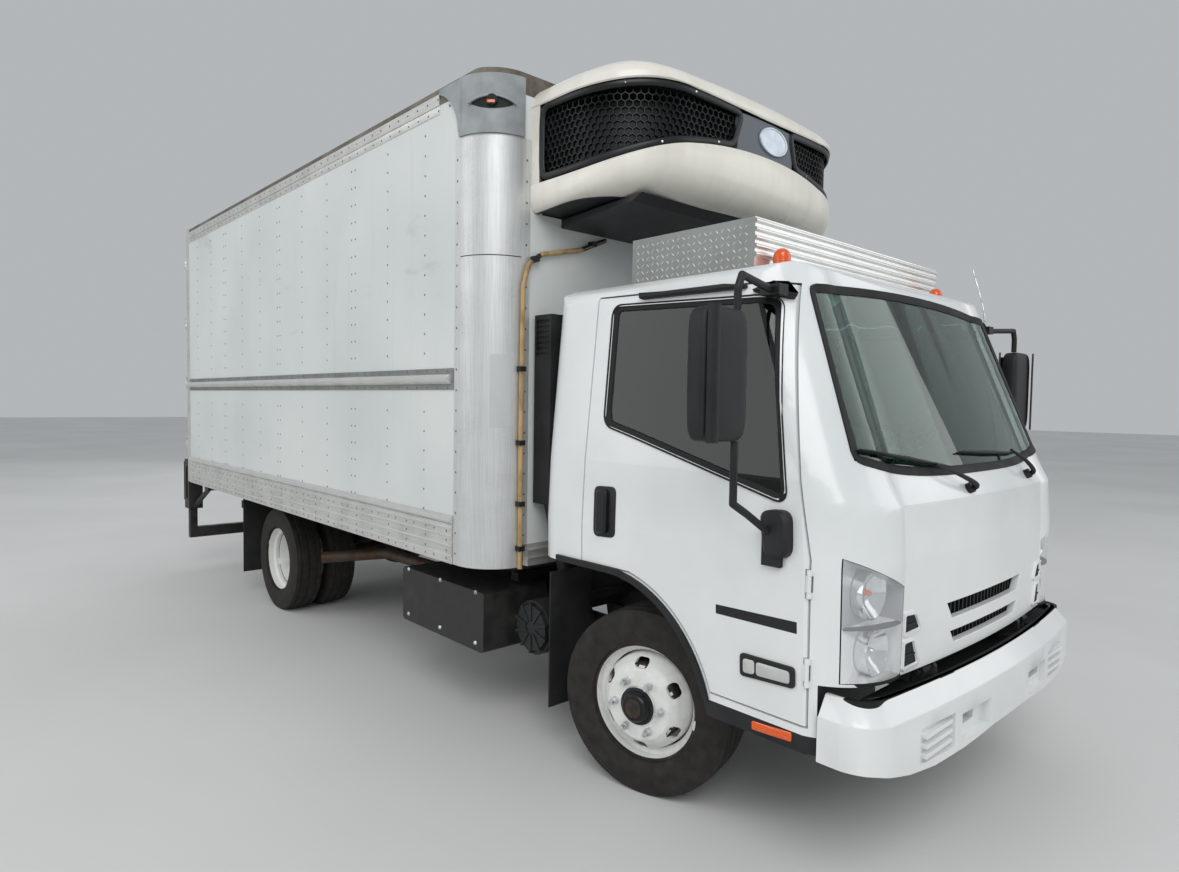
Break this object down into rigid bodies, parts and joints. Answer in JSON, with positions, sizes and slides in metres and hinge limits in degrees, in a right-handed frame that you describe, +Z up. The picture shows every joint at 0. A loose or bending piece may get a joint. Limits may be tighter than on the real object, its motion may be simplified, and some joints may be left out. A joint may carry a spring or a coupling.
{
  "type": "refrigerated box truck",
  "caption": "Medium forward-cab truck with an insulated box body and a cooling unit on its nose wall; cab tilts, doors open, wheels steer and roll.",
  "frame": {"origin": "on the ground under the middle of the overall length and width", "axes": "+X to the vehicle's left, +Y to its rear, +Z up"},
  "size_m": [2.8936, 7.1, 3.3699],
  "materials": {
    "body_white": "smooth white paint",
    "cab_white": "glossy white cab paint",
    "unit_cream": "cream moulded housing",
    "aluminium_rail": "weathered aluminium",
    "cap_grey": "grey cast caps",
    "roof_sheet": "dull aluminium roof sheet",
    "frame_black": "black chassis paint",
    "cast_dark": "dark cast iron",
    "black_plastic": "matt black plastic",
    "grey_plastic": "grey plastic panel",
    "wheel_white": "white wheel paint",
    "tyre_rubber": "tyre rubber",
    "flap_rubber": "black rubber",
    "window_glass": "tinted glass",
    "lamp_clear": "clear lamp lens",
    "lamp_amber": "amber lens",
    "seat_cloth": "grey seat cloth",
    "dash_grey": "grained grey plastic",
    "plate_bright": "bright tread plate",
    "exhaust_steel": "heat-stained steel",
    "hose_tan": "tan drain hose",
    "hold_floor": "aluminium floor ribs"
  },
  "bodies": {
    "chassis": {"frame_rails": "frame_black", "front_axle": "cast_dark", "rear_axle": "cast_dark", "leaf_springs": "frame_black", "engine": "cast_dark", "drive_shaft": "frame_black", "air_intake": "black_plastic", "side_box": "frame_black", "fuel_tank": "frame_black", "exhaust": "exhaust_steel", "mud_flaps": "flap_rubber", "front_bumper": "cab_white", "box_floor": "hold_floor", "box_side_walls": "body_white", "box_front_wall": "body_white", "box_roof": "roof_sheet", "corner_posts": "aluminium_rail", "corner_caps": "cap_grey", "side_rails": "aluminium_rail", "rear_frame": "aluminium_rail", "rear_bumper": "frame_black", "dock_pads": "flap_rubber", "unit_housing": "unit_cream", "unit_panel": "grey_plastic", "unit_grilles": "black_plastic", "unit_base": "black_plastic", "drain_hose": "hose_tan"},
    "cab": {"cab_shell": "cab_white", "cab_front_panel": "cab_white", "headlamps": "lamp_clear", "cab_glass": "window_glass", "cab_trims": "black_plastic", "roof_fairing": "plate_bright", "roof_markers": "lamp_amber", "seats": "seat_cloth", "dashboard": "dash_grey"},
    "tie_rod": {"tie_rod": "frame_black"},
    "cab_door_left": {"cab_door_left": "cab_white", "door_glass_left": "window_glass", "door_mirror_left": "black_plastic"},
    "knuckle_left": {"knuckle_left": "cast_dark"},
    "front_wheel_left": {"front_wheel_left": "wheel_white", "front_tyre_left": "tyre_rubber"},
    "rear_wheels_left": {"rear_wheels_left": "wheel_white", "rear_tyres_left": "tyre_rubber"},
    "cargo_door_left": {"cargo_door_left": "body_white"},
    "cab_door_right": {"cab_door_right": "cab_white", "door_glass_right": "window_glass", "door_mirror_right": "black_plastic"},
    "knuckle_right": {"knuckle_right": "cast_dark"},
    "front_wheel_right": {"front_wheel_right": "wheel_white", "front_tyre_right": "tyre_rubber"},
    "rear_wheels_right": {"rear_wheels_right": "wheel_white", "rear_tyres_right": "tyre_rubber"},
    "cargo_door_right": {"cargo_door_right": "body_white"}
  },
  "joints": [
    {"name": "cab_tilt", "type": "hinge", "parent": "chassis", "child": "cab", "pos_m": [0, -3.41, 0.725], "axis": [1, 0, 0], "range_deg": [0, 45]},
    {"name": "cab_door_left", "type": "hinge", "parent": "cab", "child": "cab_door_left", "pos_m": [1.027, -3.249, 0.94], "axis": [0, 0, -1], "range_deg": [0, 70]},
    {"name": "steer_left", "type": "hinge", "parent": "chassis", "child": "knuckle_left", "pos_m": [0.7, -2.35, 0.4], "axis": [0, 0, 1], "range_deg": [-52, 24]},
    {"name": "front_wheel_left", "type": "hinge", "parent": "knuckle_left", "child": "front_wheel_left", "pos_m": [0.7, -2.35, 0.4], "axis": [0.9703, 0.2419, 0], "continuous": true},
    {"name": "rear_wheels_left", "type": "hinge", "parent": "chassis", "child": "rear_wheels_left", "pos_m": [0.8255, 1.46, 0.4], "axis": [1, 0, 0], "continuous": true},
    {"name": "cargo_door_left", "type": "hinge", "parent": "chassis", "child": "cargo_door_left", "pos_m": [1.217, 3.363, 2.09], "axis": [0, 0, -1], "range_deg": [0, 225]},
    {"name": "cab_door_right", "type": "hinge", "parent": "cab", "child": "cab_door_right", "pos_m": [-1.027, -3.249, 0.94], "axis": [0, 0, 1], "range_deg": [0, 70]},
    {"name": "steer_right", "type": "hinge", "parent": "chassis", "child": "knuckle_right", "pos_m": [-0.7, -2.35, 0.4], "axis": [0, 0, 1], "range_deg": [-52, 24]},
    {"name": "front_wheel_right", "type": "hinge", "parent": "knuckle_right", "child": "front_wheel_right", "pos_m": [-0.7, -2.35, 0.4], "axis": [0.9703, 0.2419, 0], "continuous": true},
    {"name": "rear_wheels_right", "type": "hinge", "parent": "chassis", "child": "rear_wheels_right", "pos_m": [-0.8255, 1.46, 0.4], "axis": [1, 0, 0], "continuous": true},
    {"name": "cargo_door_right", "type": "hinge", "parent": "chassis", "child": "cargo_door_right", "pos_m": [-1.217, 3.363, 2.09], "axis": [0, 0, 1], "range_deg": [0, 225]},
    {"name": "tie_rod_pin", "type": "hinge", "parent": "knuckle_left", "child": "tie_rod", "pos_m": [0.65887, -2.18505, 0.324], "axis": [0, 0, 1], "range_deg": [-24, 52]}
  ],
  "couplings": [
    {"joint": "steer_right", "follows": "steer_left", "ratio": 1},
    {"joint": "tie_rod_pin", "follows": "steer_left", "ratio": -1}
  ]
}
